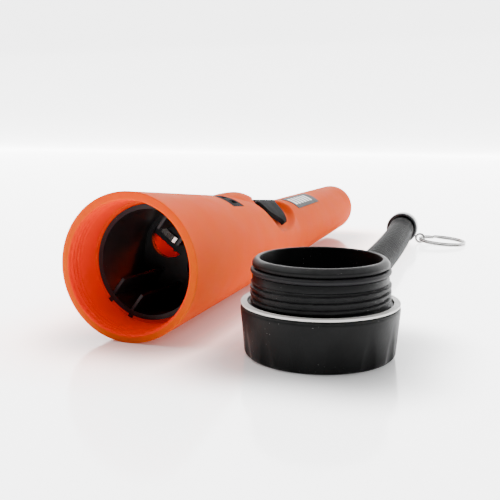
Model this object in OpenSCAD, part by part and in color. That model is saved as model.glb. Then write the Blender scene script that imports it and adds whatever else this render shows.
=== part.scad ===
// Pinpointer probe: a hand-held metal detector with a screw-on battery cap.
// The probe lies on its side. Its cap stands beside the open battery mouth, and the
// coiled lanyard on the cap's retainer ring lies behind it. Units are millimetres.
// +Z is up, +Y runs from the mouth towards the tip, and Z = 0 is the resting surface.

/* [Housing] */
// Outside diameter at the battery mouth
mouth_d = 40; // [39:0.5:41]
// Diameter at the foot of the grip, where the button recess starts
waist_d = 33; // [32:0.5:34]
// Diameter where the slim probe section starts
neck_d = 25.7; // [25:0.1:26.4]
// Diameter just behind the rounded tip
tip_d = 22.5; // [22:0.1:23.5]
// Length from the mouth to the end of the tip
housing_len = 221.5; // [218:0.5:226]
// Tilt of the grip axis as the probe lies on its side, in degrees
lie_tilt = 3.08; // [2.9:0.02:3.2]
// Tilt of the slim section against the grip axis, in degrees
bend_tilt = 3.4; // [2.9:0.1:3.6]

/* [Button] */
// Depth of the recess around the power button
recess_depth = 2.2; // [1.8:0.1:2.4]
// How far the button stands above the recess floor
button_rise = 2.0; // [1.8:0.1:2.2]
// Travel of the power button
button_travel = 0.8; // [0.5:0.1:0.9]

/* [Battery bay] */
// Inside diameter of the battery tube
bay_d = 29.6; // [29:0.1:29.8]
// Distance from the mouth to the rim of the battery tube
bay_start = 13; // [12:0.5:13.5]
// Distance from the mouth to the floor of the bay, where the battery stops
bay_floor = 37.5; // [37:0.5:38.5]
// Turn of the battery's wide side about the grip axis, in degrees
battery_turn = -36; // [-40:1:-30]

/* [Cap] */
// Diameter of the cap's grip at its shoulder
cap_d = 40; // [39:0.5:40.5]
// Height of the grip
grip_h = 12.6; // [12.4:0.1:13]
// Height of the whole cap
cap_h = 24.5; // [24.4:0.1:24.8]
// Inside diameter of the cup
cup_d = 30.4; // [30:0.1:30.8]
// Thread pitch
thread_pitch = 1.6; // [1.5:0.05:1.65]
// Number of flutes around the grip
flutes = 14; // [12:1:18]
// Distance from the mouth's centre to the cap's axis, across
cap_dx = 49.6; // [48:0.2:52]
// Distance from the mouth's centre to the cap's axis, along
cap_dy = 8.9; // [6:0.1:10]

/* [Lanyard] */
// Diameter of the cord
cord_d = 1.6; // [1.5:0.1:1.7]
// Outside diameter of the coil
coil_d = 11.6; // [11.2:0.1:12]
// Outside diameter of the split ring
ring_d = 22; // [20:0.5:24]

/* [Hidden] */
$fn = 64;
eps = 0.01;

mouth_r = mouth_d / 2;
waist_r = waist_d / 2;
neck_r = neck_d / 2;
tip_r = tip_d / 2;
waist_y = 65;
neck_y = 116;
dome_len = 9;
dome_y = housing_len - dome_len;
neck_drop = 0.6;

// Reach of the rounded tip past the end of the grip's axis
tip_over = 0.34;

// Place of the mouth's centre and of the cap: the origin is under the middle of both
probe_x = -(cap_dx + cap_d / 2 - mouth_r) / 2;
probe_y = -(housing_len * cos(lie_tilt) + tip_over + cap_dy - cap_d / 2) / 2;
cap_x = probe_x + cap_dx;
cap_y = probe_y + cap_dy;

// Bore of the mouth
entry_r = 17.9;
thread_outer_r = 17.75;
thread_inner_r = 17.35;
seal_r = 17.25;
liner_r = 16.2;
tube_r = 15.9;
bay_r = bay_d / 2;
thread_start = 1.2;
thread_turns = 3;

// Hollow behind the bay and inside the slim section
hollow_r = 13.4;
hollow_neck_r = 9.9;
slim_r = 9.2;
slim_end = 90;

// Recess for the button: middle, reach towards the mouth and the tip, and half angle
recess_y = 92;
recess_near = 16;
recess_far = 29;
recess_angle = 78;
recess_power = 2.4;
plunger_y = 101;
plunger_r = 2;
switch_top = 5.2;
board_z = -1;
board_t = 1.2;

// Cap
cap_r = cap_d / 2;
cup_r = cup_d / 2;
stem_r = 17.05;
root_r = 16.75;
crest_r = 17.55;
ledge_r = 19.1;
ledge_h = 0.4;
ring_t = 0.5;
ring_in_r = 18.3;
ring_out_r = 19.85;
ear_reach = 23.4;
ear_angle = 92;
o_ring_r = 0.72;
o_ring_z = 21.35;

// ---------- helpers ----------

function smooth(a, b, x) = let(t = min(1, max(0, (x - a) / (b - a)))) t * t * (3 - 2 * t);

module in_probe()
    translate([probe_x, probe_y, mouth_r * cos(lie_tilt)]) rotate([-lie_tilt, 0, 0]) children();

module in_slim()
    in_probe() translate([0, neck_y, -neck_drop]) rotate([bend_tilt, 0, 0]) children();

module in_bay() in_probe() rotate([0, -battery_turn, 0]) children();

module in_cap() translate([cap_x, cap_y, 0]) children();

// A round bar, cone or pipe along +Y, starting at y
module along_y(y, len, r1, r2)
    translate([0, y, 0]) rotate([-90, 0, 0]) cylinder(h = len, r1 = r1, r2 = r2);

module pipe_y(y, len, r_out, r_in) difference() {
    along_y(y, len, r_out, r_out);
    along_y(y - eps, len + 2 * eps, r_in, r_in);
}

module block(size, at) translate(at) translate([-size[0] / 2, 0, -size[2] / 2]) cube(size);

// A tube swept along a list of points
function unit(v) = v / norm(v);
function sweep_dir(p, i) = unit(p[min(i + 1, len(p) - 1)] - p[max(i - 1, 0)]);
function sweep_ring(p, i, r, n, up) =
    let(d = sweep_dir(p, i), u = unit(cross(d, up)), v = cross(u, d))
    [for (k = [0 : n - 1]) p[i] + r * (cos(360 * k / n) * u + sin(360 * k / n) * v)];
function curve_at(p, t) =
    let(n = len(p) - 1, i = min(n - 1, floor(t)), f = t - i,
        a = p[max(0, i - 1)], b = p[i], c = p[i + 1], d = p[min(n, i + 2)])
    0.5 * (2 * b + (c - a) * f + (2 * a - 5 * b + 4 * c - d) * f * f
        + (3 * b - a - 3 * c + d) * f * f * f);
function fine(p, per) = [for (k = [0 : (len(p) - 1) * per]) curve_at(p, k / per)];

module tube(points, r, n, up = [0, 0, 1]) {
    last = len(points) - 1;
    rings = [for (i = [0 : last]) each sweep_ring(points, i, r, n, up)];
    sides = [for (i = [0 : last - 1], k = [0 : n - 1])
        [i * n + k, i * n + (k + 1) % n, (i + 1) * n + (k + 1) % n, (i + 1) * n + k]];
    ends = [[for (k = [n - 1 : -1 : 0]) k], [for (k = [0 : n - 1]) last * n + k]];
    polyhedron(rings, concat(sides, ends), convexity = 6);
}

// ---------- housing ----------

// Outside radius of the plain tapered body at station y
function body_r(y) =
    y < waist_y ? mouth_r + (waist_r - mouth_r) * y / waist_y
    : y < neck_y ? waist_r + (neck_r - waist_r) * (y - waist_y) / (neck_y - waist_y)
    : y < dome_y ? neck_r + (tip_r - neck_r) * (y - neck_y) / (dome_y - neck_y)
    : tip_r * sqrt(max(0, 1 - pow((y - dome_y) / dome_len, 2)));

// Height of the body's centre above the grip axis at station y
function body_z(y) =
    y < waist_y ? 0
    : y < neck_y ? -neck_drop * (y - waist_y) / (neck_y - waist_y)
    : -neck_drop + (y - neck_y) * tan(bend_tilt);

// 1 on the floor of the button recess and 0 outside it
function recess(y, a) =
    let(reach = y < recess_y ? recess_near : recess_far,
        e = pow(abs(y - recess_y) / reach, recess_power) + pow(abs(a) / recess_angle, recess_power))
    1 - smooth(0.74, 1, e);

// Radius of the thumb guard, the tongue in front of the button
function guard_r(y, a) =
    let(rise = 17.6 - pow(max(0, 75.5 - y) / 17, 2) * 1.05,
        fall = pow(max(0, y - 75.5) / 17.3, 1.7) * 4.3)
    rise - fall - 0.0024 * a * a;

// Where the tongue ends, just short of the button
function guard_end(a) = 78.6 + 12.4 * (1 - smooth(4, 24, abs(a)));
function guard(y, a) = 1 - smooth(guard_end(a) - 1.8, guard_end(a), y);

// Outside radius with the recess and the guard, a degrees from the top
function skin_r(y, a) =
    let(plain = body_r(y) - recess_depth * recess(y, a))
    y > 60 && y < 96 ? plain + max(0, guard_r(y, a) - plain) * guard(y, a) : plain;

stations = concat([for (y = [0 : 10 : 60]) y], [for (y = [62.5 : 2.5 : 75]) y],
    [for (y = [76 : 1 : 96]) y], [for (y = [98.5 : 2.5 : 123.5]) y],
    [for (y = [135 : 15 : 195]) y], [for (a = [0 : 11.25 : 78.75]) dome_y + dome_len * sin(a)],
    [housing_len - 0.1]);
skin_sides = 60;

module skin() {
    n = skin_sides;
    last = len(stations) - 1;
    rings = [for (y = stations, k = [0 : n - 1])
        let(a = 360 * k / n, off = a > 180 ? a - 360 : a, r = skin_r(y, off))
        [r * sin(a), y, body_z(y) + r * cos(a)]];
    sides = [for (i = [0 : last - 1], k = [0 : n - 1])
        each [[i * n + k, (i + 1) * n + k, i * n + (k + 1) % n],
            [i * n + (k + 1) % n, (i + 1) * n + k, (i + 1) * n + (k + 1) % n]]];
    ends = [[for (k = [0 : n - 1]) k], [for (k = [n - 1 : -1 : 0]) last * n + k]];
    polyhedron(rings, concat(sides, ends), convexity = 8);
}

// Thread, seal and tube bores of the mouth, as one turned profile
module mouth_bore() {
    teeth = [for (i = [0 : thread_turns - 1]) each
        [[thread_inner_r, thread_start + i * thread_pitch],
            [thread_outer_r, thread_start + (i + 0.3) * thread_pitch],
            [thread_outer_r, thread_start + (i + 0.7) * thread_pitch]]];
    rotate([-90, 0, 0]) rotate_extrude() polygon(concat(
        [[0, -1], [entry_r, -1], [entry_r, thread_start - 0.3]], teeth,
        [[thread_inner_r, thread_start + thread_turns * thread_pitch],
            [seal_r, thread_start + thread_turns * thread_pitch + 0.4],
            [seal_r, bay_start], [liner_r, bay_start], [liner_r, bay_start + 2],
            [tube_r, bay_start + 2], [tube_r, 42], [hollow_r + 1.1, 44], [hollow_r, 70],
            [hollow_neck_r, 79], [hollow_neck_r, 118], [0, 118]]));
}

module grille_slot(extra) {
    half = 36;
    inner = waist_r - 2 - extra;
    intersection() {
        difference() {
            along_y(49.5 - extra, 10.6 + 2 * extra, 19, 19);
            along_y(48, 14, inner + 1, inner + 1);
        }
        translate([0, 47, 0]) rotate([-90, 0, 0]) linear_extrude(15)
            polygon([[0, 0], [30 * sin(-half), -30 * cos(half)], [0, -40],
                [30 * sin(half), -30 * cos(half)]]);
    }
}

module housing() color("#f07840") {
    difference() {
        in_probe() skin();
        in_probe() mouth_bore();
        in_slim() {
            along_y(-3, slim_end + 3, slim_r, slim_r);
            along_y(slim_end - eps, 3, slim_r, slim_r - 3);
        }
        in_probe() grille_slot(0);
        in_probe() translate([0, 53, 0]) cylinder(h = 20, r = 2);
        in_probe() translate([0, plunger_y, 0]) cylinder(h = 20, r = plunger_r + 0.5);
    }
}

module speaker_grille() color("#3c3d40") in_probe() difference() {
    intersection() {
        grille_slot(-0.05);
        along_y(40, 30, 17.95, 16.1);
    }
    for (a = [-26 : 13 : 26]) rotate([0, a, 0]) block([2.1, 4.6, 10], [0, 53.4, 17]);
}

module label_plate() color("#4a4b4e") {
    start = 11.5;
    len = 32;
    taper = (neck_r - tip_r) / (dome_y - neck_y);
    r1 = neck_r - start * taper;
    r2 = neck_r - (start + len) * taper;
    in_slim() difference() {
        intersection() {
            along_y(start, len, r1 + 0.2, r2 + 0.2);
            translate([0, 10, 0]) rotate([-90, 0, 0]) linear_extrude(35)
                polygon([[0, 0], [30 * sin(4.5), -30 * cos(4.5)], [30 * sin(42.5), -30 * cos(42.5)]]);
        }
        along_y(start - 1, len + 2, r1 + taper + 0.04, r2 - taper + 0.04);
    }
}

// ---------- battery bay ----------

window_w = 7.5;
window_r = 5.9;
plate_t = 1.8;
holder_y = bay_floor + plate_t;

module bay_liner() color("#1c1b1d") {
    in_probe() difference() {
        union() {
            pipe_y(bay_start - 0.6, 2.6, liner_r - 0.1, bay_r);
            pipe_y(bay_start + 1, holder_y - bay_start - 1, tube_r - 0.1, bay_r);
            along_y(bay_floor, plate_t, tube_r - 0.5, tube_r - 0.5);
        }
        for (side = [-1, 1]) rotate([0, -battery_turn, 0])
            translate([side * window_w, 0, -0.5]) along_y(bay_floor - 1, 4, window_r, window_r);
    }
    in_bay() for (side = [-1, 1], w = [-3.6, 3.6])
        block([0.8, bay_floor - bay_start + 0.5, 5.7], [w, bay_start - 0.3, side * 11.9]);
    in_probe() for (a = [-137, -111]) rotate([0, -a, 0])
        block([1, 0.6, 1.3], [16.5, bay_start - 0.6, 0]);
}

module contact_holder() color("#232225")
    in_bay() block([27, 2.4, 5.6], [0, holder_y, 0]);

leaf_root = 11.6;
leaf_tip = 5.6;
module contact_leaf(side) in_bay() translate([0, 0, -0.95]) linear_extrude(1.9)
    polygon([for (p = [[leaf_root, holder_y - 0.35], [leaf_tip + 1, holder_y - 1.2],
        [leaf_tip, holder_y - 0.9], [leaf_tip, holder_y - 0.6], [leaf_tip + 1, holder_y - 0.9],
        [leaf_root, holder_y - 0.05]]) [side * p[0], p[1]]]);

module contact_leaf_negative() color("#d9d4cf") contact_leaf(-1);
module contact_leaf_positive() color("#d9d4cf") contact_leaf(1);

module contact_rivets() color("#b9b5ae") in_bay() for (side = [-1, 1])
    translate([side * 12.35, holder_y - 0.4, 0]) rotate([-90, 0, 0]) cylinder(h = 0.4, r = 0.6);

module battery_leads() color("#b02020") in_probe() {
    tube(fine([[7.3, holder_y + 2.45, -5.3], [7.3, 44, -5.2], [6.8, 47, -3.6], [6, 50, -1.6]], 3), 0.6, 8);
    tube(fine([[-7.3, holder_y + 2.45, 5.3], [-7.3, 44, 5.1], [-6.8, 47, 3], [-6, 50, 0.8]], 3), 0.6, 8);
}

// ---------- electronics ----------

board_top = board_z + board_t;

module circuit_board() color("#1f6b3a") in_probe() difference() {
    block([18, 66, board_t], [0, 46, board_z + board_t / 2]);
    for (y = [49, 109]) translate([0, y, board_z - 1]) cylinder(h = 3, r = 1.1);
}

module board_chips() color("#18181a") in_probe() {
    block([9, 9, 1.4], [1, 79, board_top + 0.7]);
    block([5, 6, 1.5], [-5.4, 66, board_top + 0.75]);
    block([4, 5, 1.2], [5, 91.5, board_top + 0.6]);
    block([3, 1.6, 1.2], [-6, 90, board_top + 0.6]);
    for (y = [56, 60]) translate([-6, y, board_top]) cylinder(h = 5, r = 1.8);
}

module tact_switch() color("#2a2a2d") in_probe() {
    block([6, 6, 3.4], [0, plunger_y - 3, board_top + 1.7]);
    translate([0, plunger_y, board_top + 3.3]) cylinder(h = switch_top - board_top - 3.3, r = 1.7);
}

module board_screws() color("#b8babd") in_probe() for (y = [49, 109])
    translate([0, y, board_z - 3.5]) {
        cylinder(h = 3.5 + board_t, r = 0.95);
        translate([0, 0, 3.5 + board_t]) cylinder(h = 1.2, r = 1.9);
    }

module buzzer() color("#c9a24a") in_probe() translate([0, 56, 6.2]) {
    cylinder(h = 3, r = 6.5);
    translate([0, 0, -1.6]) cylinder(h = 1.6, r = 3.2);
}

motor_x = 5;
motor_z = board_top + 3;
module vibration_motor() color("#c4c6c9") in_probe() translate([motor_x, 0, motor_z])
    difference() {
        along_y(64, 10, 3, 3);
        along_y(70, 5, 0.55, 0.55);
    }

module motor_weight() color("#8d8f93") in_probe() translate([motor_x, 0, motor_z]) {
    along_y(71, 6, 0.5, 0.5);
    difference() {
        along_y(74.6, 2.4, 2.6, 2.6);
        block([6, 4, 4], [0, 74, -2.6]);
    }
}

// ---------- search coil in the slim section ----------

module coil_bobbin() color("#e6e1d4") in_slim() {
    pipe_y(8, 78, 5.2, 4.05);
    for (y = [32, 60, 64, 84]) pipe_y(y, 1.6, 8.7, 5);
}

module ferrite_rod() color("#35363a") in_slim() along_y(5, 83, 4, 4);

module receive_winding() color("#b5652a") in_slim() pipe_y(33.6, 26.4, 7.6, 5.2);
module transmit_winding() color("#b5652a") in_slim() pipe_y(65.6, 18.4, 8.1, 5.2);

module coil_leads() color("#b5652a") in_slim() for (side = [-1, 1])
    tube(fine([[side * 3, -7, 2.1], [side * 4.5, 0, 3.4], [side * 5, 8, 4.2], [side * 5, 20, 4.2],
        [side * 5, 31.9, 4.2]], 3), 0.4, 8);

// ---------- power button ----------

// The button's edges towards the mouth and the tip, a degrees from the top
button_angle = 66;
function button_near(a) = 79.8 + 12.6 * (1 - smooth(6, 27, abs(a))) + 12.2 * smooth(44, 66, abs(a));
function button_far(a) =
    94 + 6 * sqrt(max(0, 1 - pow(abs(a) / 66.01, 4))) + 17 * exp(-pow(a / 22, 2));
function button_top(y, a) =
    min(body_r(y) + 0.5, (13.75 - 0.03 * (y - 96)) / cos(min(60, abs(a))));
function button_under(y, a) = body_r(y) - recess_depth + button_travel + 0.35;

button_cols = 22;
button_rows = 10;
function button_grid(under) = [for (i = [0 : button_cols], j = [0 : button_rows])
    let(a = button_angle * (2 * i / button_cols - 1), t = j / button_rows,
        y = button_near(a) + (button_far(a) - button_near(a)) * t,
        r = under ? button_under(y, a) : button_top(y, a))
    [r * sin(a), y, (under ? body_z(y) : 0) + r * cos(a)]];

module power_button() color("#26272a") in_probe() {
    m = button_rows + 1;
    count = (button_cols + 1) * m;
    cells = [for (i = [0 : button_cols - 1], j = [0 : button_rows - 1]) [i * m + j, i * m + j + 1,
        (i + 1) * m + j + 1, (i + 1) * m + j]];
    top = [for (c = cells) each [[c[0], c[1], c[2]], [c[0], c[2], c[3]]]];
    under = [for (c = cells) each [[c[2], c[1], c[0]] + count * [1, 1, 1],
        [c[3], c[2], c[0]] + count * [1, 1, 1]]];
    rim = concat([for (i = [0 : button_cols]) i * m],
        [for (j = [1 : button_rows]) button_cols * m + j],
        [for (i = [button_cols - 1 : -1 : 0]) i * m + button_rows],
        [for (j = [button_rows - 1 : -1 : 1]) j]);
    walls = [for (k = [0 : len(rim) - 1]) let(p = rim[k], q = rim[(k + 1) % len(rim)])
        each [[p, q, q + count], [p, q + count, p + count]]];
    polyhedron(concat(button_grid(false), button_grid(true)), concat(top, under, walls));
}

module button_plunger() color("#e8e6e0") in_probe() {
    top = body_z(plunger_y) + button_under(plunger_y, 0);
    foot = switch_top + button_travel + 0.05;
    translate([0, plunger_y, foot]) cylinder(h = top - foot - 0.25, r = plunger_r);
}

// ---------- cap ----------

thread_z = 12.7;
thread_count = 4;
foot_r = cap_r - 0.95;
flute_r = 9;
flute_depth = 0.6;
flute_lean = 8;

module cap_profile() {
    teeth = [for (i = [0 : thread_count - 1]) let(mid = thread_z + (i + 0.5) * thread_pitch)
        each [[root_r, mid - 0.6], [crest_r, mid - 0.32], [crest_r, mid + 0.32], [root_r, mid + 0.6]]];
    round_r = 1.3;
    foot = [for (a = [0 : 15 : 90])
        [foot_r - round_r + round_r * sin(a), round_r - round_r * cos(a)]];
    polygon(concat([[0, 0]], foot, [[cap_r - 0.05, grip_h - 0.9], [cap_r - 0.15, grip_h - 0.35],
        [cap_r - 0.5, grip_h], [ledge_r, grip_h], [ledge_r, grip_h + ledge_h], [root_r, grip_h + ledge_h]],
        teeth, [[stem_r, thread_z + thread_count * thread_pitch + 0.1], [stem_r - 0.1, o_ring_z - 0.8], [stem_r - 1, o_ring_z - 0.8], [stem_r - 1, o_ring_z + 1.2],
            [stem_r - 0.1, o_ring_z + 1.2], [stem_r, o_ring_z + 1.3], [stem_r, cap_h - 1.1],
            [stem_r - 0.75, cap_h - 0.2], [stem_r - 1.2, cap_h], [cup_r + 0.2, cap_h],
            [cup_r, cap_h - 0.3], [cup_r, 2.4], [cup_r - 0.5, 1.9], [0, 1.9]]));
}

// Cutter for one shallow flute, leaning so that it fades towards the shoulder
module flute_cutter() translate([foot_r - flute_depth + flute_r, 0, 0]) rotate([0, flute_lean, 0])
    translate([0, 0, -2]) cylinder(h = 16, r = flute_r);

module cap_body() color("#27292b") in_cap() difference() {
    rotate_extrude() cap_profile();
    for (i = [0 : flutes - 1]) rotate([0, 0, 360 * (i + 0.5) / flutes]) flute_cutter();
}

module cap_o_ring() color("#141416") in_cap() translate([0, 0, o_ring_z])
    rotate_extrude() translate([stem_r - 1 + o_ring_r + 0.01, 0]) circle(r = o_ring_r, $fn = 32);

module battery_pad() color("#3a3a3c") in_cap() translate([0, 0, 1.9]) cylinder(h = 1.6, r = 12);

module retainer_ring() color("#dcdad6") in_cap() translate([0, 0, grip_h + ledge_h]) difference() {
    union() {
        cylinder(h = ring_t, r = ring_out_r);
        rotate([0, 0, ear_angle]) translate([ring_in_r + 0.6, -3.5, 0])
            cube([ear_reach - ring_in_r - 0.6, 7, ring_t]);
        rotate([0, 0, ear_angle]) translate([ear_reach, 0, 0]) cylinder(h = ring_t, r = 3.5);
    }
    translate([0, 0, -1]) cylinder(h = 3, r = ring_in_r);
    rotate([0, 0, ear_angle]) translate([ear_reach, 0, -1]) cylinder(h = 3, r = 1.6);
}

// ---------- lanyard ----------

// Middle line of the coil, from the cap outwards, counted from the cap's axis
coil_route = [[-1.9, 37, 7.2], [-2.2, 42, 7.05], [-2.5, 50, 6.2], [-3, 66, 5.85], [-4.2, 91, 5.85],
    [-5.3, 121, 5.85], [-7, 151, 5.85], [-8.4, 171, 6], [-9, 181, 6.8], [-9.4, 188, 7.2]];
// Cord between the coil and the retainer ring's ear, out and back
tie_route = [[-1.1, 31.9, 6.2], [-1, 28.6, 5.8], [-0.9, 25.8, 6.6], [-0.8, 24, 8.6], [-0.8, 23.3, 11],
    [-0.8, 23.3, 13.4], [-0.8, 23.9, 15.6], [-0.8, 25.8, 16.9], [-1, 27.8, 15.9],
    [-1.3, 28.8, 13.6], [-1.7, 29.2, 11], [-2.2, 30, 9.2], [-2.4, 31.9, 8.6]];
collar_r = 7.2;
collar_len = 9;

// A cup on the coil's end: its closed end is at the given point, open along heading
module collar(at, heading) translate([at[0], at[1], collar_r]) rotate([0, 0, heading]) difference() {
    rotate([-90, 0, 0]) rotate_extrude() polygon([[0, 0], [collar_r - 1.2, 0], [collar_r - 0.3, 0.5],
        [collar_r, 1.6], [collar_r, collar_len - 0.5], [collar_r - 0.4, collar_len], [0, collar_len]]);
    along_y(collar_len - 5.4, 6, coil_d / 2 + 0.5, coil_d / 2 + 0.5);
}

module lanyard_tie() color("#1d1e20") in_cap() tube(fine(tie_route, 2), cord_d / 2, 8, [1, 0, 0]);
module coil_collar_near() color("#2d2e31") in_cap() collar([-1.6, 32], 3);
module lanyard_coil() color("#2b2c2e") in_cap() tube(fine(coil_route, 4), coil_d / 2, 12);
module coil_collar_far() color("#4b4c50") in_cap() collar([-9.7, 193.2], 183.3);

// The eye that holds the split ring, and the stem that joins it to the collar
link_at = [-0.7, 187.2, 2.55];
eye_r = 2;
eye_wire = 0.5;
stem_route = [[-9.7, 193.25, 7.2], [-9.7, 195.6, 6.6], [-8.2, 197, 4.8], [-5, 195.2, 3],
    [-3.3, 191.8, 2.4], [-2.9, 189, 2.3], [-2.7, 187.3, 2.55]];
ring_tilt = 4.3;
ring_wire = 1.1;
ring_high = 1.8;

module ring_link() color("#a9a6a2") in_cap() {
    translate(link_at) rotate([90, 0, 0]) rotate_extrude() translate([eye_r, 0])
        circle(r = eye_wire, $fn = 24);
    tube(fine(stem_route, 3), 0.5, 10);
}

module split_ring() color("#c9c9c8")
    in_cap() translate(link_at) rotate([0, ring_tilt, 0])
        translate([ring_d / 2 - ring_wire / 2, 0, -ring_high / 2]) difference() {
            cylinder(h = ring_high, r = ring_d / 2);
            translate([0, 0, -1]) cylinder(h = 4, r = ring_d / 2 - ring_wire);
        }

housing();
speaker_grille();
label_plate();
bay_liner();
contact_holder();
contact_leaf_negative();
contact_leaf_positive();
contact_rivets();
battery_leads();
circuit_board();
board_chips();
tact_switch();
board_screws();
buzzer();
vibration_motor();
motor_weight();
coil_bobbin();
ferrite_rod();
receive_winding();
transmit_winding();
coil_leads();
power_button();
button_plunger();
cap_body();
cap_o_ring();
battery_pad();
retainer_ring();
lanyard_tie();
coil_collar_near();
lanyard_coil();
coil_collar_far();
ring_link();
split_ring();
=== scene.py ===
"""Pinpointer probe with its battery cap off, on a pale floor. P() takes a point from the probe's own
axes to the frame, and C() one counted from the foot of the cap's axis."""
from math import ceil, cos, exp, floor, pi, radians, sin, sqrt, tan
import bmesh
import bpy
from mathutils import Matrix, Vector


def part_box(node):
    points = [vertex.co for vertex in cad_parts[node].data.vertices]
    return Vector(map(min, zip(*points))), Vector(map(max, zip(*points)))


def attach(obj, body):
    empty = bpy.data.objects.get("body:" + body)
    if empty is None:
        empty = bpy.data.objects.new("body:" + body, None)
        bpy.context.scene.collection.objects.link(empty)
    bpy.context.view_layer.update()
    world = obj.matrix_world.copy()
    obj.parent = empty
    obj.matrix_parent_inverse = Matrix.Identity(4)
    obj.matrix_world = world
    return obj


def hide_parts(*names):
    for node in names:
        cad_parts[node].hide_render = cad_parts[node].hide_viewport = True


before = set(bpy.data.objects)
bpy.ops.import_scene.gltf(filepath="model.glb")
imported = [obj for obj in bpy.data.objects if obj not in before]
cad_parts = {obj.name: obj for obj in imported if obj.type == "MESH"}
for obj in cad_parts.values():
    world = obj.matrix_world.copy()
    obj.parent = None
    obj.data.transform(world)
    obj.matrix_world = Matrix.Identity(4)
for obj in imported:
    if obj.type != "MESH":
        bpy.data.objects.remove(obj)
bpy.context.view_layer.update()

MM = 0.001

# Driving dimensions, the same as in the solids
MOUTH_R, WAIST_R, NECK_R, TIP_R = 20.0, 16.5, 12.85, 11.25
HOUSING_LEN, DOME_LEN = 221.5, 9.0
WAIST_Y, NECK_Y, NECK_DROP = 65.0, 116.0, 0.6
DOME_Y = HOUSING_LEN - DOME_LEN
LIE_TILT, BEND_TILT = radians(3.08), radians(3.4)
CAP_DX, CAP_DY = 49.6, 8.9
THREAD_PITCH = 1.6
COIL_D, CORD_D = 11.6, 1.6

low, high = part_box("battery_pad")
CAP_X = (low[0] + high[0]) / 2 / MM
CAP_Y = (low[1] + high[1]) / 2 / MM
PROBE = (
    Matrix.Translation((CAP_X - CAP_DX, CAP_Y - CAP_DY, MOUTH_R * cos(LIE_TILT)))
    @ Matrix.Rotation(-LIE_TILT, 4, "X")
)
SLIM = PROBE @ Matrix.Translation((0, NECK_Y, -NECK_DROP)) @ Matrix.Rotation(BEND_TILT, 4, "X")
CAP = Matrix.Translation((CAP_X, CAP_Y, 0))
TO_M = Matrix.Scale(MM, 4)


def P(x, y, z):
    return TO_M @ PROBE @ Vector((x, y, z))


def C(x, y, z):
    return TO_M @ CAP @ Vector((x, y, z))


# ---------------------------------------------------------------- shapes


def smooth(a, b, x):
    t = min(1.0, max(0.0, (x - a) / (b - a)))
    return t * t * (3 - 2 * t)


def body_r(y):
    if y < WAIST_Y:
        return MOUTH_R + (WAIST_R - MOUTH_R) * y / WAIST_Y
    if y < NECK_Y:
        return WAIST_R + (NECK_R - WAIST_R) * (y - WAIST_Y) / (NECK_Y - WAIST_Y)
    if y < DOME_Y:
        return NECK_R + (TIP_R - NECK_R) * (y - NECK_Y) / (DOME_Y - NECK_Y)
    return TIP_R * sqrt(max(0.0, 1 - ((y - DOME_Y) / DOME_LEN) ** 2))


def body_z(y):
    if y < WAIST_Y:
        return 0.0
    if y < NECK_Y:
        return -NECK_DROP * (y - WAIST_Y) / (NECK_Y - WAIST_Y)
    return -NECK_DROP + (y - NECK_Y) * tan(BEND_TILT)


RECESS_Y, RECESS_NEAR, RECESS_FAR, RECESS_ANGLE = 92.0, 16.0, 29.0, 78.0
RECESS_POWER, RECESS_DEPTH = 2.4, 2.2


def recess(y, a):
    reach = RECESS_NEAR if y < RECESS_Y else RECESS_FAR
    e = (abs(y - RECESS_Y) / reach) ** RECESS_POWER + (abs(a) / RECESS_ANGLE) ** RECESS_POWER
    return 1 - smooth(0.74, 1, e)


def guard_r(y, a):
    rise = 17.6 - (max(0, 75.5 - y) / 17) ** 2 * 1.05
    fall = (max(0, y - 75.5) / 17.3) ** 1.7 * 4.3
    return rise - fall - 0.0024 * a * a


def guard_end(a):
    return 78.6 + 12.4 * (1 - smooth(4, 24, abs(a)))


def skin_r(y, a):
    plain = body_r(y) - RECESS_DEPTH * recess(y, a)
    if not 60 < y < 96:
        return plain
    guard = 1 - smooth(guard_end(a) - 1.8, guard_end(a), y)
    return plain + max(0.0, guard_r(y, a) - plain) * guard


def object_from(name, verts, faces):
    mesh = bpy.data.meshes.new(name)
    mesh.from_pydata(verts, [], faces)
    mesh.validate()
    work = bmesh.new()
    work.from_mesh(mesh)
    bmesh.ops.remove_doubles(work, verts=work.verts, dist=1e-6)
    bmesh.ops.recalc_face_normals(work, faces=work.faces)
    work.to_mesh(mesh)
    work.free()
    mesh.polygons.foreach_set("use_smooth", [True] * len(mesh.polygons))
    piece = bpy.data.objects.new(name, mesh)
    bpy.context.scene.collection.objects.link(piece)
    return piece


def rings_to_mesh(name, rings, matrix, caps=True):
    """A skin over a list of rings, each a list of points in matrix's own millimetres."""
    count = len(rings[0])
    place = TO_M @ matrix
    verts = [place @ Vector(p) for ring in rings for p in ring]
    faces = []
    for i in range(len(rings) - 1):
        for k in range(count):
            j = (k + 1) % count
            faces.append((i * count + k, i * count + j, (i + 1) * count + j, (i + 1) * count + k))
    if caps:
        faces.append(tuple(range(count)))
        faces.append(tuple(range((len(rings) - 1) * count, len(rings) * count)))
    return object_from(name, verts, faces)


def lathe(name, profile, matrix, steps, closed_profile=False):
    """profile is (radius, height) points turned about matrix's Z axis."""
    pts = profile + [profile[0]] if closed_profile else profile
    rings = [
        [(r * cos(2 * pi * k / steps), r * sin(2 * pi * k / steps), z) for k in range(steps)]
        for r, z in pts
    ]
    return rings_to_mesh(name, rings, matrix, caps=not closed_profile)


def sharpen(piece, angle):
    """Keeps edges sharper than angle as edges, and shades the rest smooth."""
    mesh = piece.data
    work = bmesh.new()
    work.from_mesh(mesh)
    for edge in work.edges:
        if len(edge.link_faces) == 2 and edge.calc_face_angle(0) > radians(angle):
            edge.smooth = False
    work.to_mesh(mesh)
    work.free()
    mesh.polygons.foreach_set("use_smooth", [True] * len(mesh.polygons))
    return piece


def bevelled(piece, width):
    mod = piece.modifiers.new("edges", "BEVEL")
    mod.width = width * MM
    mod.segments = 2
    mod.limit_method = "ANGLE"
    mod.angle_limit = radians(35)


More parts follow.
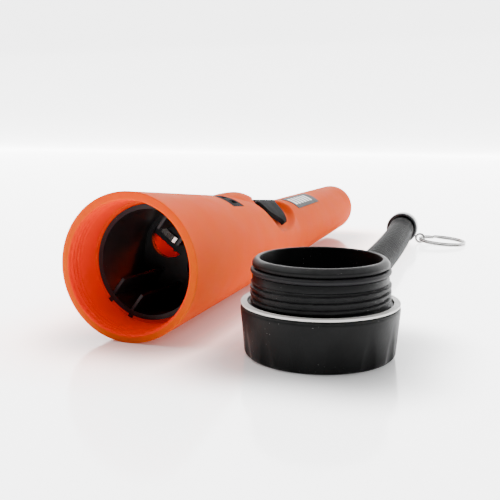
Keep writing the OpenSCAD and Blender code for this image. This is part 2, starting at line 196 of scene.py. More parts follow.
def dress(piece, material):
    piece.data.materials.clear()
    piece.data.materials.append(material)
    return piece


def dress_node(node, material):
    """A CAD node's own object: its slots get the material, and its mesh stays as it is."""
    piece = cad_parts[node]
    for slot in piece.material_slots:
        slot.link = "OBJECT"
        slot.material = material
    return piece


def catmull(points, t):
    last = len(points) - 1
    i = min(last - 1, int(floor(t)))
    f = t - i
    p0, p1 = points[max(0, i - 1)], points[i]
    p2, p3 = points[i + 1], points[min(last, i + 2)]
    return tuple(
        0.5 * (2 * b + (c - a) * f + (2 * a - 5 * b + 4 * c - d) * f**2
               + (3 * b - a - 3 * c + d) * f**3)
        for a, b, c, d in zip(p0, p1, p2, p3)
    )


def wire(name, points_m, diameter, material, sides):
    """A round wire along points that are already in the frame, in metres."""
    curve = bpy.data.curves.new(name, "CURVE")
    curve.dimensions = "3D"
    curve.bevel_depth = diameter / 2 * MM
    curve.bevel_resolution = sides
    curve.use_fill_caps = True
    spline = curve.splines.new("POLY")
    spline.points.add(len(points_m) - 1)
    for point, target in zip(spline.points, points_m):
        point.co = (*target, 1)
    spline.use_smooth = True
    piece = bpy.data.objects.new(name, curve)
    bpy.context.scene.collection.objects.link(piece)
    curve.materials.append(material)
    return piece


# ---------------------------------------------------------------- materials


class Nodes:
    """Short names for building one material's node tree."""

    def __init__(self, name):
        self.material = bpy.data.materials.new(name)
        self.material.use_nodes = True
        self.tree = self.material.node_tree
        self.shader = self.tree.nodes["Principled BSDF"]

    def add(self, kind):
        return self.tree.nodes.new(kind)

    def link(self, out, into):
        self.tree.links.new(out, into)

    def set(self, **values):
        for key, value in values.items():
            self.shader.inputs[key.replace("_", " ")].default_value = value

    def place(self, scale=(1, 1, 1)):
        """Object coordinates, stretched."""
        coords = self.add("ShaderNodeTexCoord")
        mapping = self.add("ShaderNodeMapping")
        mapping.inputs["Scale"].default_value = scale
        self.link(coords.outputs["Object"], mapping.inputs["Vector"])
        return mapping.outputs["Vector"]

    def noise(self, where, scale, detail=3.0, rough=0.5):
        node = self.add("ShaderNodeTexNoise")
        node.inputs["Scale"].default_value = scale
        node.inputs["Detail"].default_value = detail
        node.inputs["Roughness"].default_value = rough
        self.link(where, node.inputs["Vector"])
        return node.outputs["Fac"]

    def cells(self, where, scale):
        node = self.add("ShaderNodeTexVoronoi")
        node.inputs["Scale"].default_value = scale
        self.link(where, node.inputs["Vector"])
        return node

    def band(self, value, low, high, out_low=0.0, out_high=1.0):
        node = self.add("ShaderNodeMapRange")
        node.inputs["From Min"].default_value = low
        node.inputs["From Max"].default_value = high
        node.inputs["To Min"].default_value = out_low
        node.inputs["To Max"].default_value = out_high
        self.link(value, node.inputs["Value"])
        return node.outputs["Result"]

    def math(self, operation, a, b=0.0):
        node = self.add("ShaderNodeMath")
        node.operation = operation
        for socket, value in zip(node.inputs, (a, b)):
            if isinstance(value, (int, float)):
                socket.default_value = value
            else:
                self.link(value, socket)
        return node.outputs[0]

    def mix(self, factor, a, b):
        node = self.add("ShaderNodeMix")
        node.data_type = "RGBA"
        self.link(factor, node.inputs["Factor"])
        for socket, value in ((node.inputs["A"], a), (node.inputs["B"], b)):
            if isinstance(value, tuple):
                socket.default_value = (*value, 1)
            else:
                self.link(value, socket)
        return node.outputs["Result"]

    def color(self, out):
        self.link(out, self.shader.inputs["Base Color"])

    def rough(self, out):
        self.link(out, self.shader.inputs["Roughness"])

    def bump(self, height, strength, distance):
        node = self.add("ShaderNodeBump")
        node.inputs["Strength"].default_value = strength
        node.inputs["Distance"].default_value = distance
        self.link(height, node.inputs["Height"])
        self.link(node.outputs["Normal"], self.shader.inputs["Normal"])


# How far from the probe's axis, in metres, and how deep, in mm, the mouth's bore is painted redder and made
# to glow, as painted light for the light that comes through the wall
BORE_EDGE, BORE_INSIDE = 0.0183, 0.0177
BORE_END, BORE_FULL = 14, 12
BORE_GLOW = 0.1


def orange_plastic():
    """Frosted, slightly translucent moulding. The bore of the mouth is painted redder and brighter than the
    outside
    and given a faint glow: painted light, standing in for the light that has come through the wall."""
    n = Nodes("orange_plastic")
    where = n.place()
    patches = n.noise(where, 22, 4)
    grain = n.noise(where, 2600, 2)
    split = n.add("ShaderNodeSeparateXYZ")
    n.link(where, split.inputs["Vector"])
    middle = P(0, 6, 0)
    dx = n.math("SUBTRACT", split.outputs["X"], middle[0])
    dz = n.math("SUBTRACT", split.outputs["Z"], middle[2])
    off_axis = n.math("SQRT", n.math("ADD", n.math("MULTIPLY", dx, dx), n.math("MULTIPLY", dz, dz)))
    shallow = n.band(split.outputs["Y"], P(0, BORE_END, 0)[1], P(0, BORE_FULL, 0)[1])
    # Painted light: the bore is painted redder and made to glow, for light that comes through the wall
    bore = n.math("MULTIPLY", n.band(off_axis, BORE_EDGE, BORE_INSIDE), shallow)
    outside = n.mix(n.band(patches, 0.35, 0.65), (0.68, 0.06, 0.0), (0.72, 0.068, 0.0))
    # Painted shade: the rim's face is painted a darker, browner orange than the outside
    rim = n.band(split.outputs["Y"], P(0, 1.1, 0)[1], P(0, 0.3, 0)[1])
    n.color(n.mix(bore, n.mix(rim, outside, (0.56, 0.082, 0.0)), (0.74, 0.022, 0.0)))
    n.link(n.band(bore, 0.0, 1.0, 0.0, BORE_GLOW), n.shader.inputs["Emission Strength"])
    n.rough(n.band(n.noise(where, 120, 4), 0.3, 0.7, 0.5, 0.62))
    n.bump(grain, 0.12, 0.0001)
    n.set(Subsurface_Weight=0.7, Subsurface_Scale=0.003, Specular_IOR_Level=0.015,
          Emission_Color=(1.0, 0.03, 0.0, 1))
    n.shader.inputs["Subsurface Radius"].default_value = (1.0, 0.22, 0.05)
    return n.material


def moulded(name, dark, light, rough_low, rough_high, grain_scale=1800, grain=0.15,
            dust=0.0, dust_scale=420, gloss=0.5, top_dust_and_highlight=0.0):
    """Black or grey moulding: a fine grain, slightly uneven gloss, dust specks, and a lighter grey film
    on faces that look up, partly dust and partly painted highlight."""
    n = Nodes(name)
    where = n.place()
    tone = n.mix(n.band(n.noise(where, 60, 5), 0.35, 0.7), dark, light)
    if dust:
        cells = n.cells(where, dust_scale)
        speck = n.band(cells.outputs["Distance"], 0.10, 0.05)
        chance = n.band(n.noise(where, 95, 3), 0.62 - dust, 0.66 - dust)
        spread = n.math("FRACT", n.math("MULTIPLY", cells.outputs["Distance"], 37.0))
        pick = n.math("GREATER_THAN", spread, 0.35)
        speck = n.math("MULTIPLY", n.math("MULTIPLY", speck, chance), pick)
        tone = n.mix(speck, tone, (0.3, 0.29, 0.28))
    if top_dust_and_highlight:
        # Faces that look up are painted lighter grey: partly dust, partly a painted highlight on crests and
        # top faces
        facing = n.add("ShaderNodeSeparateXYZ")
        n.link(n.add("ShaderNodeNewGeometry").outputs["Normal"], facing.inputs["Vector"])
        film = n.band(facing.outputs["Z"], 0.15, 0.95, 0.0, top_dust_and_highlight)
        film = n.math("MULTIPLY", film, n.band(n.noise(where, 240, 5, 0.65), 0.3, 0.7, 0.6, 1.2))
        tone = n.mix(film, tone, (0.5, 0.5, 0.5))
    n.color(tone)
    n.rough(n.band(n.noise(where, 160, 4), 0.3, 0.7, rough_low, rough_high))
    n.bump(n.noise(where, grain_scale, 3), grain, 0.0001)
    n.set(Specular_IOR_Level=gloss)
    return n.material


def metal(name, tint, rough_low, rough_high, stretch=(1, 1, 1), scratch=700):
    n = Nodes(name)
    where = n.place(stretch)
    fine = n.noise(where, scratch, 4)
    n.color(n.mix(n.band(n.noise(where, 70, 3), 0.3, 0.7), tint, tuple(0.86 * v for v in tint)))
    n.rough(n.band(fine, 0.3, 0.7, rough_low, rough_high))
    n.bump(fine, 0.08, 0.00005)
    n.set(Metallic=1.0)
    return n.material


BAR_COUNT, BAR_FIRST, BAR_PITCH, BAR_LENGTH = 6, 13.4, 4.2, 3.0
BAR_LOW, BAR_HIGH = 2.6, 7.0


def label_material():
    """Dark film with plain white bars, spaced along the slim section."""
    n = Nodes("label_film")
    turn = n.add("ShaderNodeMapping")
    turn.vector_type = "POINT"
    back = (TO_M @ SLIM).inverted()
    turn.inputs["Location"].default_value = back.to_translation()
    turn.inputs["Rotation"].default_value = back.to_euler()
    turn.inputs["Scale"].default_value = back.to_scale()
    coords = n.add("ShaderNodeTexCoord")
    n.link(coords.outputs["Object"], turn.inputs["Vector"])
    split = n.add("ShaderNodeSeparateXYZ")
    n.link(turn.outputs["Vector"], split.inputs["Vector"])
    along, across = split.outputs["Y"], split.outputs["X"]

    def inside(value, a, b):
        return n.math("MULTIPLY", n.math("GREATER_THAN", value, a), n.math("LESS_THAN", value, b))

    marks = None
    for i in range(BAR_COUNT):
        y0 = BAR_FIRST + BAR_PITCH * i
        bar = n.math("MULTIPLY", inside(along, y0, y0 + BAR_LENGTH), inside(across, BAR_LOW, BAR_HIGH))
        marks = bar if marks is None else n.math("MAXIMUM", marks, bar)
    n.color(n.mix(marks, (0.022, 0.022, 0.025), (0.85, 0.85, 0.84)))
    n.rough(n.band(n.noise(n.place(), 300, 3), 0.3, 0.7, 0.4, 0.5))
    n.set(Specular_IOR_Level=0.04)
    return n.material


def copper_winding():
    n = Nodes("copper_enamel")
    where = n.place()
    wave = n.add("ShaderNodeTexWave")
    wave.bands_direction = "Y"
    wave.inputs["Scale"].default_value = 900
    n.link(where, wave.inputs["Vector"])
    n.color(n.mix(n.band(wave.outputs["Fac"], 0.2, 0.8), (0.32, 0.09, 0.025), (0.62, 0.24, 0.08)))
    n.rough(n.band(n.noise(where, 300, 2), 0.3, 0.7, 0.25, 0.35))
    n.bump(wave.outputs["Fac"], 0.5, 0.00015)
    return n.material


FAR_GLOW, NEAR_GLOW = 3.7, 0.2
# Distances in metres over which the floor's glow rises out of its painted shadow, and its painted pink
# reflection fades
SHADE_START, GLOW_FULL, REFLECTION_TINT_END = 0.004, 0.034, 0.045
PROBE_HALF, CAP_HALF = (0.006, 0.1), (0.012, 0.012)


def floor_material():
    """A lit acrylic table: pale, half glossy, glowing softly from below. The glow is weaker
    close to the probe and the cap, a painted shadow where they shade the table they stand on, and close to
    the probe it is tinted pink, a painted reflection of the orange body."""
    n = Nodes("studio_floor")
    where = n.place()
    n.color(n.mix(n.band(n.noise(where, 8, 2), 0.3, 0.7), (0.86, 0.86, 0.865), (0.88, 0.88, 0.885)))
    n.rough(n.band(n.noise(where, 40, 3), 0.3, 0.7, 0.1, 0.14))
    split = n.add("ShaderNodeSeparateXYZ")
    n.link(where, split.inputs["Vector"])

    def away(centre, half):
        """Distance from a rectangle on the floor, in metres."""
        gaps = []
        for axis, middle, reach in zip("XY", centre, half):
            off = n.math("ABSOLUTE", n.math("SUBTRACT", split.outputs[axis], middle))
            gap = n.math("MAXIMUM", n.math("SUBTRACT", off, reach), 0.0)
            gaps.append(n.math("MULTIPLY", gap, gap))
        return n.math("SQRT", n.math("ADD", *gaps))

    probe = away((P(0, 0, 0)[0], 0.0), PROBE_HALF)
    cap_gap = away(C(0, 0, 0)[:2], CAP_HALF)
    near = n.math("MINIMUM", probe, cap_gap)
    # Painted shadow: the glow drops close to the probe and the cap
    step = n.add("ShaderNodeMapRange")
    step.interpolation_type = "SMOOTHERSTEP"
    step.inputs["From Min"].default_value = SHADE_START
    step.inputs["From Max"].default_value = GLOW_FULL
    step.inputs["To Min"].default_value = NEAR_GLOW
    step.inputs["To Max"].default_value = FAR_GLOW
    n.link(near, step.inputs["Value"])
    n.link(step.outputs["Result"], n.shader.inputs["Emission Strength"])
    # Painted reflection: close to the probe the glow is tinted pink, for the orange body's light on the
    # table
    painted_reflection_tint = n.mix(n.band(probe, SHADE_START, REFLECTION_TINT_END), (1.0, 0.5, 0.4), (1.0, 1.0, 1.0))
    n.link(painted_reflection_tint, n.shader.inputs["Emission Color"])
    n.set(Specular_IOR_Level=0.7)
    return n.material


orange = orange_plastic()
liner_black = moulded("black_plastic", (0.009, 0.0085, 0.009), (0.016, 0.0155, 0.016), 0.36, 0.46,
                      1500, 0.12, 0.04, 900, gloss=0.25)
cap_black = moulded("cap_plastic", (0.002, 0.0022, 0.0023), (0.0038, 0.004, 0.0042), 0.36, 0.5,
                    1500, 0.25, 0.08, 1100, gloss=0.1, top_dust_and_highlight=0.06)
grille_grey = moulded("dark_plastic", (0.012, 0.0125, 0.014), (0.02, 0.021, 0.023), 0.6, 0.72,
                      gloss=0.01)
rubber = moulded("black_rubber", (0.006, 0.006, 0.0065), (0.012, 0.012, 0.013), 0.6, 0.72,
                 2200, 0.3, gloss=0.012)
seal_black = moulded("seal_rubber", (0.006, 0.006, 0.007), (0.01, 0.01, 0.011), 0.45, 0.55,
                     900, 0.1, gloss=0.15, top_dust_and_highlight=0.03)
ring_grey = moulded("grey_plastic", (0.62, 0.605, 0.58), (0.78, 0.765, 0.74), 0.4, 0.55, 1200, 0.4)
cord_black = moulded("cord_black", (0.004, 0.004, 0.0045), (0.009, 0.009, 0.0095), 0.38, 0.5,
                     1500, 0.12, gloss=0.12)
collar_dark = moulded("collar_plastic", (0.035, 0.036, 0.04), (0.06, 0.061, 0.066), 0.2, 0.3,
                      900, 0.08, 0.05, 400)
foam = moulded("foam", (0.02, 0.02, 0.022), (0.045, 0.045, 0.048), 0.8, 0.95, 900, 1.0)
component = moulded("component_black", (0.012, 0.012, 0.013), (0.02, 0.02, 0.022), 0.4, 0.5)
natural = moulded("natural_plastic", (0.66, 0.62, 0.52), (0.76, 0.73, 0.64), 0.4, 0.5)
ferrite = moulded("ferrite", (0.03, 0.03, 0.034), (0.055, 0.055, 0.06), 0.45, 0.6, 1400, 0.3)
board_green = moulded("board_green", (0.012, 0.10, 0.035), (0.02, 0.16, 0.06), 0.25, 0.35)
wire_red = moulded("wire_jacket", (0.35, 0.008, 0.006), (0.5, 0.015, 0.01), 0.3, 0.4)
nickel = metal("nickel_steel", (0.72, 0.69, 0.65), 0.18, 0.32)
brass = metal("brass_disc", (0.78, 0.56, 0.24), 0.2, 0.35)
tungsten = metal("tungsten", (0.32, 0.32, 0.34), 0.3, 0.45)
chrome = metal("ring_steel", (0.42, 0.415, 0.41), 0.16, 0.3, (1, 1, 1), 500)
copper = copper_winding()
label_film = label_material()

# ---------------------------------------------------------------- camera

camera_data = bpy.data.cameras.new("camera")
camera_data.lens = 54.69
camera_data.sensor_width = 36
camera = bpy.data.objects.new("camera", camera_data)
camera.location = (0.07265, -0.27644, 0.05725)
camera.rotation_euler = (radians(80.493), 0, radians(20.284))
bpy.context.scene.collection.objects.link(camera)
bpy.context.scene.camera = camera

# ---------------------------------------------------------------- lanyard

COIL_ROUTE = [(-1.9, 37, 7.2), (-2.2, 42, 7.05), (-2.5, 50, 6.2), (-3, 66, 5.85), (-4.2, 91, 5.85),
              (-5.3, 121, 5.85), (-7, 151, 5.85), (-8.4, 171, 6), (-9, 181, 6.8), (-9.4, 188, 7.2)]
TIE_ROUTE = [(-1.1, 31.9, 6.2), (-1, 28.6, 5.8), (-0.9, 25.8, 6.6), (-0.8, 24, 8.6), (-0.8, 23.3, 11),
             (-0.8, 23.3, 13.4), (-0.8, 23.9, 15.6), (-0.8, 25.8, 16.9), (-1, 27.8, 15.9),
             (-1.3, 28.8, 13.6), (-1.7, 29.2, 11), (-2.2, 30, 9.2), (-2.4, 31.9, 8.6)]
TURN_PITCH = 1.72
TURN_POINTS = 16


def route_length(points):
    return sum((Vector(b) - Vector(a)).length for a, b in zip(points, points[1:]))


def coil_points():
    """A close helix round the coil's middle line, in millimetres from the cap's axis."""
    fine = [Vector(catmull(COIL_ROUTE, k / 40)) for k in range((len(COIL_ROUTE) - 1) * 40 + 1)]
    total = route_length(fine)
    count = int(total / TURN_PITCH * TURN_POINTS)
    radius = (COIL_D - CORD_D) / 2
    out, i, walked = [], 0, 0.0
    for k in range(count + 1):
        target = total * k / count
        while i < len(fine) - 2 and walked + (fine[i + 1] - fine[i]).length < target:
            walked += (fine[i + 1] - fine[i]).length
            i += 1
        along = (fine[i + 1] - fine[i]).normalized()
        middle = fine[i] + along * (target - walked)
        side = along.cross(Vector((0, 0, 1))).normalized()
        up = side.cross(along)
        turn = 2 * pi * k / TURN_POINTS + pi / 2
        out.append(middle + radius * (cos(turn) * side + sin(turn) * up))
    return out


tie = [Vector(catmull(TIE_ROUTE, k / 3)) for k in range((len(TIE_ROUTE) - 1) * 3 + 1)]
helix = coil_points()
cord_path = tie + [tie[-1].lerp(helix[0], 0.5) + Vector((0, 0.3, 0.5))] + helix
cord_path = [C(*p) for p in cord_path]
cord = wire("lanyard_cord", cord_path, CORD_D, cord_black, 3)
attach(cord, "retainer")
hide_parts("lanyard_tie", "lanyard_coil")

# ---------------------------------------------------------------- pieces


def collar_piece(name, at, heading, material):
    """Moulded end cup of the coil: rounded closed end, a rim bead and a socket."""
    radius, length, back, lip = 7.2, 9.0, 2.4, 0.45
    socket = COIL_D / 2 + lip
    profile = [(0.0, 0.0), (radius - back, 0.0)]
    profile += [(radius - back + back * sin(radians(a)), back - back * cos(radians(a)))
                for a in range(10, 91, 10)]
    profile += [(radius, length - 1.9), (radius - 0.22, length - 1.75), (radius - 0.22, length - 1.5),
                (radius, length - 1.35), (radius, length - lip)]
    profile += [(radius - lip + lip * cos(radians(a)), length - lip + lip * sin(radians(a)))
                for a in (30, 60, 90)]
    profile += [(socket + 0.25, length), (socket, length - 0.25), (socket, length - 5.2),
                (0.0, length - 5.2)]
    matrix = (CAP @ Matrix.Translation((at[0], at[1], radius))
              @ Matrix.Rotation(radians(heading), 4, "Z") @ Matrix.Rotation(-pi / 2, 4, "X"))
    return dress(sharpen(lathe(name, profile, matrix, 72), 40), material)


near_collar = collar_piece("collar_near_cup", (-1.6, 32), 3, collar_dark)
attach(near_collar, "retainer")
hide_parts("coil_collar_near")
far_collar = collar_piece("collar_far_cup", (-9.7, 193.2), 183.3, collar_dark)
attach(far_collar, "retainer")
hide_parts("coil_collar_far")

LINK_AT = Vector((-0.7, 187.2, 2.55))
STEM_ROUTE = [(-9.7, 193.25, 7.2), (-9.7, 195.6, 6.6), (-8.2, 197, 4.8), (-5, 195.2, 3),
              (-3.3, 191.8, 2.4), (-2.9, 189, 2.3), (-2.7, 187.3, 2.55)]
EYE_R, EYE_WIRE = 2.0, 0.5
stem = [C(*catmull(STEM_ROUTE, k / 6)) for k in range((len(STEM_ROUTE) - 1) * 6 + 1)]
link_stem = wire("link_stem", stem, 2 * EYE_WIRE, chrome, 4)
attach(link_stem, "retainer")
eye_matrix = CAP @ Matrix.Translation(LINK_AT) @ Matrix.Rotation(pi / 2, 4, "X")
eye_profile = [(EYE_R + EYE_WIRE * cos(2 * pi * k / 20), EYE_WIRE * sin(2 * pi * k / 20))
               for k in range(20)]
link_eye = dress(lathe("link_eye", eye_profile, eye_matrix, 64, closed_profile=True), chrome)
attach(link_eye, "retainer")
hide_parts("ring_link")

RING_R, RING_WIRE, RING_HIGH, RING_TILT = 11.0, 1.1, 1.8, radians(4.3)
ring_matrix = (CAP @ Matrix.Translation(LINK_AT) @ Matrix.Rotation(RING_TILT, 4, "Y")
               @ Matrix.Translation((RING_R - RING_WIRE / 2, 0, 0)))
WIRE_HIGH = RING_HIGH / 2


def split_ring_points():
    """Two turns of wire, lying on each other, with a short step from one level to the next."""
    out = []
    middle = RING_R - RING_WIRE / 2
    for k in range(193):
        turn = 2 * k / 192
        level = (smooth(0.92, 1.08, turn) - 0.5) * WIRE_HIGH * 0.98
        a = 2 * pi * turn + 2.1
        out.append(TO_M @ ring_matrix @ Vector((middle * cos(a), middle * sin(a), level)))
    return out


ring = wire("split_ring_wire", split_ring_points(), WIRE_HIGH, chrome, 4)
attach(ring, "split_ring")
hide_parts("split_ring")

# Housing: the outer skin from tip to mouth, round the rim, and back along the bore

HOUSING_SIDES = 240
GRILLE_Y0, GRILLE_Y1, GRILLE_HALF, GRILLE_DEPTH = 49.5, 60.1, 36.0, 1.6


def spaced(a, b, step):
    """Even steps from a up to, but not at, b, none longer than step."""
    count = ceil((b - a) / step)
    return [a + (b - a) * k / count for k in range(count)]


def outer_stations():
    lip = 0.02
    ys = spaced(0.5, GRILLE_Y0, 3) + [GRILLE_Y0 - lip, GRILLE_Y0 + lip]
    ys += spaced(GRILLE_Y0 + 0.5, GRILLE_Y1, 1.5) + [GRILLE_Y1 - lip, GRILLE_Y1 + lip]
    ys += spaced(60.5, 124, 0.5) + spaced(124, DOME_Y, 4)
    ys += [DOME_Y + DOME_LEN * sin(radians(a)) for a in range(0, 88, 4)] + [HOUSING_LEN - 0.003]
    return ys


def skin_ring(y):
    ring = []
    for k in range(HOUSING_SIDES):
        a = 360 * k / HOUSING_SIDES
        off = a - 360 if a > 180 else a
        r = skin_r(y, off)
        if GRILLE_Y0 < y < GRILLE_Y1 and abs(off) < GRILLE_HALF:
            r -= GRILLE_DEPTH
        ring.append((r * sin(radians(a)), y, body_z(y) + r * cos(radians(a))))
    return ring


def round_ring(r, y, z=0.0):
    return [(r * sin(2 * pi * k / HOUSING_SIDES), y, z + r * cos(2 * pi * k / HOUSING_SIDES))
            for k in range(HOUSING_SIDES)]


def thread_ring(y):
    """One ring of the mouth's thread: the groove's depth follows a real helix."""
    ring = []
    for k in range(HOUSING_SIDES):
        turn = k / HOUSING_SIDES
        p = ((y - 1.2) / THREAD_PITCH + turn) % 1.0
        groove = smooth(0.1, 0.34, p) * (1 - smooth(0.66, 0.9, p))
        fade = smooth(1.0, 1.7, y) * (1 - smooth(5.3, 6.2, y))
        r = 17.36 + 0.4 * groove * fade + 0.4 * (1 - smooth(1.0, 1.7, y))
        ring.append((r * sin(2 * pi * turn), y, r * cos(2 * pi * turn)))
    return ring


def housing_rings():
    rings = [skin_ring(y) for y in reversed(outer_stations())]
    edge = 0.35
    top = body_r(0)
    for a in (20, 45, 70, 90):
        rings.append(round_ring(top - edge + edge * cos(radians(a)), edge - edge * sin(radians(a))))
    rings += [round_ring(17.95, 0.0), round_ring(17.8, 0.12), round_ring(17.75, 0.3)]
    rings += [thread_ring(0.9 + 0.09 * k) for k in range(61)]
    for r, y in ((17.25, 6.7), (17.25, 12.95), (17.2, 13.0), (16.25, 13.0), (16.2, 13.05),
                 (16.2, 15), (15.9, 15), (15.9, 42), (14.5, 44)):
        rings.append(round_ring(r, y))
    rings += [round_ring(13.4, 70, body_z(70)), round_ring(9.9, 80, body_z(80))]
    rings += [round_ring(9.6, y, body_z(y)) for y in (100, 118, 160, 204)]
    rings += [round_ring(6, 208, body_z(208))]
    return rings


housing = dress(sharpen(rings_to_mesh("housing_shell", housing_rings(), PROBE), 32), orange)
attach(housing, "housing")
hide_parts("housing")

# Button: an inlaid rubber pad with a rolled edge

BUTTON_ANGLE = 66.0


def button_near(a):
    return 79.8 + 12.6 * (1 - smooth(6, 27, abs(a))) + 12.2 * smooth(44, 66, abs(a))


def button_far(a):
    return 94 + 6 * sqrt(max(0.0, 1 - (abs(a) / 66.01) ** 4)) + 17 * exp(-((a / 22) ** 2))


def button_top(y, a):
    return min(body_r(y) + 0.5, (13.75 - 0.03 * (y - 96)) / cos(radians(min(60, abs(a)))))


def button_piece():
    cols, rows = 110, 44
    edge = 0.55
    grid = []
    for j in range(rows + 1):
        row = []
        for i in range(cols + 1):
            a = BUTTON_ANGLE * (2 * i / cols - 1)
            near, far = button_near(a), button_far(a)
            y = near + (far - near) * j / rows
            gap = min(y - near, far - y, (BUTTON_ANGLE - abs(a)) * 0.24)
            drop = edge - sqrt(max(0.0, edge**2 - max(0.0, edge - gap) ** 2))
            r = button_top(y, a) - drop
            row.append((r * sin(radians(a)), y, r * cos(radians(a))))
        grid.append(row)
    low_grid = []
    for j in range(rows + 1):
        row = []
        for i in range(cols + 1):
            a = BUTTON_ANGLE * (2 * i / cols - 1)
            near, far = button_near(a), button_far(a)
            y = near + (far - near) * j / rows
            r = body_r(y) - RECESS_DEPTH + 1.15
            row.append((r * sin(radians(a)), y, body_z(y) + r * cos(radians(a))))
        low_grid.append(row)
    place = TO_M @ PROBE
    verts = [place @ Vector(p) for row in grid + low_grid for p in row]
    width = cols + 1
    count = width * (rows + 1)
    faces = []
    for j in range(rows):
        for i in range(cols):
            cell = (j * width + i, j * width + i + 1, (j + 1) * width + i + 1, (j + 1) * width + i)
            faces.append(cell)
            faces.append(tuple(v + count for v in reversed(cell)))
    rim = list(range(width)) + [j * width + cols for j in range(1, rows + 1)]
    rim += [rows * width + i for i in range(cols - 1, -1, -1)] + [j * width for j in range(rows - 1, 0, -1)]
    for p, q in zip(rim, rim[1:] + rim[:1]):
        faces.append((p, q, q + count, p + count))
    return object_from("button_pad", verts, faces)


button = dress(sharpen(button_piece(), 50), rubber)
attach(button, "button")
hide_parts("power_button")

# Cap: fluted grip, thread, seal groove and cup

CAP_R, FOOT_R, GRIP_H, LEDGE_R, LEDGE_H, ROOT_R = 20.0, 19.05, 12.6, 19.1, 0.4, 16.75
CAP_H, STEM_R, CREST_R, CUP_R = 24.5, 17.05, 17.55, 15.2
FLUTES, FLUTE_R, FLUTE_DEPTH, FLUTE_LEAN = 14, 9.0, 0.6, radians(8)


def flute_cut(z, phi):
    """Distance from the cap's axis to a flute's cutter, or a large number between flutes."""
    off = (phi * FLUTES / (2 * pi)) % 1.0 - 0.5
    angle = off * 2 * pi / FLUTES
    centre = FOOT_R - FLUTE_DEPTH + FLUTE_R + z * tan(FLUTE_LEAN)
    reach = FLUTE_R**2 - (centre * sin(angle)) ** 2
    return centre * cos(angle) - sqrt(reach) if reach > 0 else 99.0


def cap_grip_rings():
    round_r, blend = 1.3, 0.1
    profile = [(FOOT_R - round_r + round_r * sin(radians(a)), round_r - round_r * cos(radians(a)))
               for a in range(0, 91, 9)]
    profile += [(FOOT_R + 0.9 * k / 16, round_r + (GRIP_H - 0.9 - round_r) * k / 16)
                for k in range(1, 17)]
    profile += [(CAP_R - 0.06, GRIP_H - 0.6), (CAP_R - 0.15, GRIP_H - 0.3),
                (CAP_R - 0.35, GRIP_H - 0.08), (CAP_R - 0.55, GRIP_H), (LEDGE_R, GRIP_H)]
    steps = FLUTES * 24
    rings = []
    for r, z in profile:
        ring = []
        for k in range(steps):
            phi = 2 * pi * k / steps
            d = flute_cut(z, phi) - r
            soft = r if d > blend else (r + d if d < -blend else r - (blend - d) ** 2 / (4 * blend))
            ring.append((soft * cos(phi), soft * sin(phi), z))
        rings.append(ring)
    return rings


def cap_stem_rings(steps):
    def flat_ring(r, z):
        return [(r * cos(2 * pi * k / steps), r * sin(2 * pi * k / steps), z) for k in range(steps)]

    rings = [flat_ring(LEDGE_R, GRIP_H + LEDGE_H), flat_ring(ROOT_R, GRIP_H + LEDGE_H)]
    start, end = 13.05, 19.0
    count = 72
    for j in range(count + 1):
        z = start + (end - start) * j / count
        fade = smooth(start, start + 0.4, z) * (1 - smooth(end - 0.7, end, z))
        root = ROOT_R + (STEM_R - ROOT_R) * smooth(end - 0.5, end, z)
        ring = []
        for k in range(steps):
            p = ((z - 13.5) / THREAD_PITCH - k / steps + 0.25) % 1.0
            away = min(p, 1 - p) * THREAD_PITCH
            r = root + (CREST_R - root) * (1 - smooth(0.3, 0.5, away)) * fade
            ring.append((r * cos(2 * pi * k / steps), r * sin(2 * pi * k / steps), z))
        rings.append(ring)
    for r, z in ((STEM_R, 19.1), (17.0, 19.9), (16.9, 20.45), (16.75, 20.54), (16.05, 20.56),
                 (16.05, 22.54), (16.85, 22.55), (17.0, 22.62), (17.05, 22.75), (17.05, 23.3),
                 (16.98, 23.45), (16.6, 23.95), (16.3, 24.25), (16.1, 24.4), (15.85, 24.48),
                 (15.55, CAP_H), (15.4, CAP_H - 0.04), (15.26, 24.35), (CUP_R, 24.15), (CUP_R, 8.0),
                 (CUP_R, 3.0), (CUP_R - 0.2, 2.3), (CUP_R - 0.6, 1.95), (0.01, 1.9)):
        rings.append(flat_ring(r, z))
    return rings


def cap_piece():
    grip = cap_grip_rings()
    return rings_to_mesh("cap_moulding", grip + cap_stem_rings(len(grip[0])), CAP)


cap = dress(sharpen(cap_piece(), 38), cap_black)
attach(cap, "cap")
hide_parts("cap_body")

# CAD nodes that show as they are, with their finishes

for node, material, edge in (
    ("speaker_grille", grille_grey, 0.12), ("label_plate", label_film, 0),
    ("bay_liner", liner_black, 0.15), ("contact_holder", liner_black, 0.2),
    ("contact_leaf_negative", nickel, 0), ("contact_leaf_positive", nickel, 0),
    ("contact_rivets", nickel, 0), ("battery_leads", wire_red, 0), ("circuit_board", board_green, 0),
    ("board_chips", component, 0.1), ("tact_switch", component, 0.1), ("board_screws", nickel, 0.05),
    ("buzzer", brass, 0.1), ("vibration_motor", nickel, 0.1), ("motor_weight", tungsten, 0.05),
    ("coil_bobbin", natural, 0.1), ("ferrite_rod", ferrite, 0.1), ("receive_winding", copper, 0.1),
    ("transmit_winding", copper, 0.1), ("coil_leads", copper, 0), ("button_plunger", natural, 0.1),
    ("cap_o_ring", seal_black, 0), ("battery_pad", foam, 0.2), ("retainer_ring", ring_grey, 0.15),
):
    piece = dress_node(node, material)
    if edge:
        bevelled(piece, edge)

# ---------------------------------------------------------------- floor and light

SWEEP_Y, SWEEP_R, SWEEP_TOP = 1.1, 0.9, 3.0


def sweep_profile():
    """Flat floor, then a wide round rise into an upright back wall."""
    curve = [(SWEEP_Y + SWEEP_R * sin(radians(a)), SWEEP_R - SWEEP_R * cos(radians(a)))
             for a in range(0, 91, 3)]
    return [(-1.5, 0.0)] + curve + [(SWEEP_Y + SWEEP_R, SWEEP_TOP)]


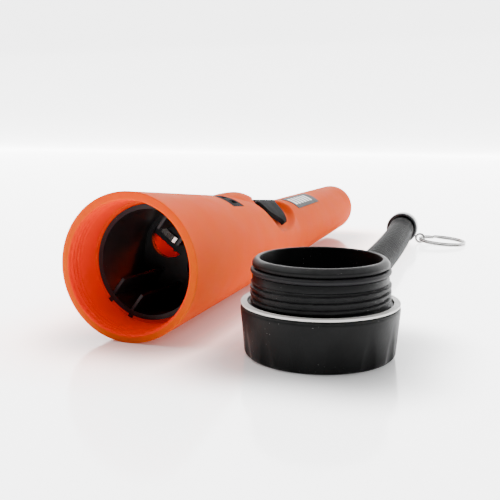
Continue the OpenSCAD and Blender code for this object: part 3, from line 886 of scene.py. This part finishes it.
backdrop_verts = [(x, y, z) for y, z in sweep_profile() for x in (-4, 4)]
backdrop_faces = [(2 * i, 2 * i + 1, 2 * i + 3, 2 * i + 2) for i in range(len(backdrop_verts) // 2 - 1)]
backdrop = dress(object_from("backdrop", backdrop_verts, backdrop_faces), floor_material())


def area_light(name, at, target, size, power, tint=(1, 1, 1)):
    data = bpy.data.lights.new(name, "AREA")
    data.shape = "RECTANGLE"
    data.size, data.size_y = size
    data.energy = power
    data.color = tint
    lamp = bpy.data.objects.new(name, data)
    lamp.location = at
    lamp.rotation_euler = (Vector(target) - Vector(at)).to_track_quat("-Z", "Y").to_euler()
    bpy.context.scene.collection.objects.link(lamp)


area_light("key", (-0.45, -0.15, 0.9), (0, 0, 0), (0.8, 0.8), 8)
area_light("fill", (0.7, -0.45, 0.6), (0, -0.05, 0), (0.6, 0.6), 2)
# Stands in for the light that comes through the orange shell behind the battery bay
area_light("through_shell", P(0, 58, 6), P(0, 40, -2), (0.014, 0.014), 0.02, (1.0, 0.05, 0.01))


DIRECT_GLOW = 60


def studio_world():
    """Soft white surroundings: brightest overhead and behind, dimmer in front. Looked at
    straight, they are one even pale backdrop."""
    world = bpy.data.worlds.new("studio")
    bpy.context.scene.world = world
    world.use_nodes = True
    tree = world.node_tree
    coords = tree.nodes.new("ShaderNodeTexCoord")
    lean = tree.nodes.new("ShaderNodeVectorMath")
    lean.operation = "DOT_PRODUCT"
    lean.inputs[1].default_value = Vector((-0.15, 0.45, 0.88)).normalized()
    ramp = tree.nodes.new("ShaderNodeMapRange")
    ramp.inputs["From Min"].default_value = -0.5
    ramp.inputs["From Max"].default_value = 1.0
    ramp.inputs["To Min"].default_value = 0.12
    ramp.inputs["To Max"].default_value = 1.3
    tree.links.new(coords.outputs["Generated"], lean.inputs[0])
    tree.links.new(lean.outputs["Value"], ramp.inputs["Value"])
    seen = tree.nodes.new("ShaderNodeLightPath")
    choose = tree.nodes.new("ShaderNodeMapRange")
    choose.inputs["To Max"].default_value = DIRECT_GLOW
    tree.links.new(seen.outputs["Is Camera Ray"], choose.inputs["Value"])
    tree.links.new(ramp.outputs["Result"], choose.inputs["To Min"])
    tree.links.new(choose.outputs["Result"], tree.nodes["Background"].inputs["Strength"])


studio_world()
